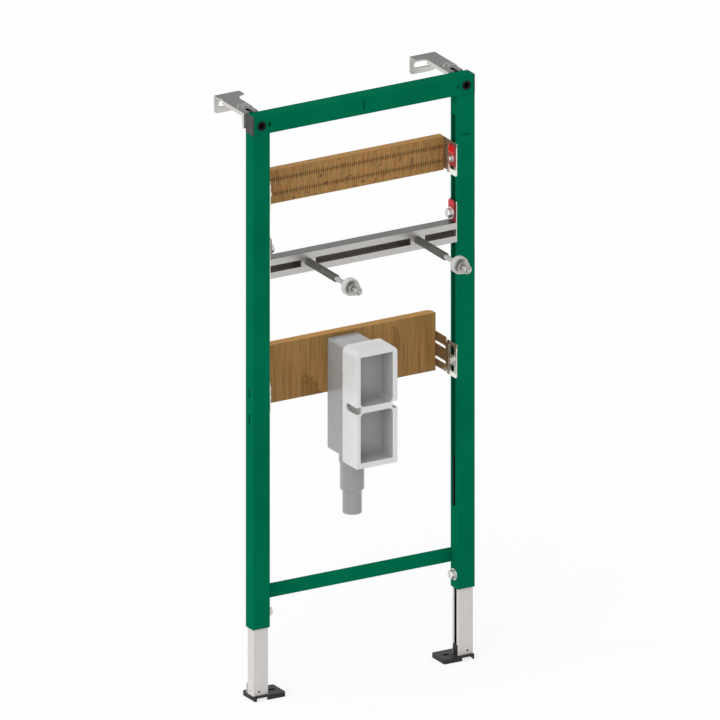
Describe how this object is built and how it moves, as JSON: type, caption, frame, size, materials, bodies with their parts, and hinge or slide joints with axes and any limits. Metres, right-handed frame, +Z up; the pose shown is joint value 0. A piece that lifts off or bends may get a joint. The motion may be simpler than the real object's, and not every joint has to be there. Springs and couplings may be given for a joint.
{
  "type": "wall hung washbasin installation frame",
  "caption": "Steel frame that stands on telescopic legs in front of a wall and carries a tap board, basin studs and a concealed trap box.",
  "frame": {"origin": "on the wall face of the left bracket's flange, at the middle of its slot", "axes": "+Z up, +X to the right of someone facing the frame, +Y into the wall"},
  "size_m": [0.5255, 0.352, 1.2645],
  "materials": {
    "green": "satin powder coat",
    "dark_cap": "matt moulded",
    "black_plastic": "matt moulded",
    "black_foot": "matt moulded",
    "galvanised": "galvanised",
    "zinc_sheet": "zinc plated sheet",
    "zinc_fastener": "bright zinc",
    "rail_steel": "zinc plated",
    "slide_nut": "zinc plated",
    "stud_steel": "zinc plated thread",
    "sleeve_steel": "dark zinc",
    "white_bush": "natural moulded",
    "red_plastic": "moulded",
    "bracket_steel": "zinc plated",
    "tap_plywood": "film faced plywood",
    "trap_plywood": "film faced plywood",
    "grey_housing": "moulded",
    "white_box": "moulded"
  },
  "bodies": {
    "frame": {"left_post": "green", "right_post": "green", "top_beam": "green", "lower_bar": "green", "left_end_cap": "dark_cap", "right_end_cap": "dark_cap", "left_access_plug": "black_plastic", "right_access_plug": "black_plastic", "left_wall_bracket": "zinc_sheet", "right_wall_bracket": "zinc_sheet", "left_leg_bolt": "zinc_fastener", "right_leg_bolt": "zinc_fastener", "left_rail_bolt": "zinc_fastener", "right_rail_bolt": "zinc_fastener", "left_tap_bolt": "zinc_fastener", "right_tap_bolt": "zinc_fastener", "left_trap_bolt": "zinc_fastener", "right_trap_bolt": "zinc_fastener", "left_wall_spindle": "zinc_fastener", "right_wall_spindle": "zinc_fastener", "mounting_rail": "rail_steel", "channel_nuts": "slide_nut", "left_stud": "stud_steel", "right_stud": "stud_steel", "left_stud_sleeve": "sleeve_steel", "right_stud_sleeve": "sleeve_steel", "stud_bushes": "white_bush", "left_rail_clip": "red_plastic", "right_rail_clip": "red_plastic", "left_tap_clip": "red_plastic", "right_tap_clip": "red_plastic", "left_tap_bracket": "bracket_steel", "right_tap_bracket": "bracket_steel", "left_trap_bracket": "bracket_steel", "right_trap_bracket": "bracket_steel", "tap_board": "tap_plywood", "trap_board": "trap_plywood", "trap_housing": "grey_housing", "trap_outlet": "grey_housing", "trap_box": "white_box"},
    "left_leg": {"left_leg": "galvanised", "left_foot": "black_foot"},
    "right_leg": {"right_leg": "galvanised", "right_foot": "black_foot"}
  },
  "joints": [
    {"name": "left_leg_slide", "type": "slide", "parent": "frame", "child": "left_leg", "axis": [0, 0, -1], "range_m": [-0.1395, 0.055]},
    {"name": "right_leg_slide", "type": "slide", "parent": "frame", "child": "right_leg", "axis": [0, 0, -1], "range_m": [-0.1395, 0.055]}
  ]
}
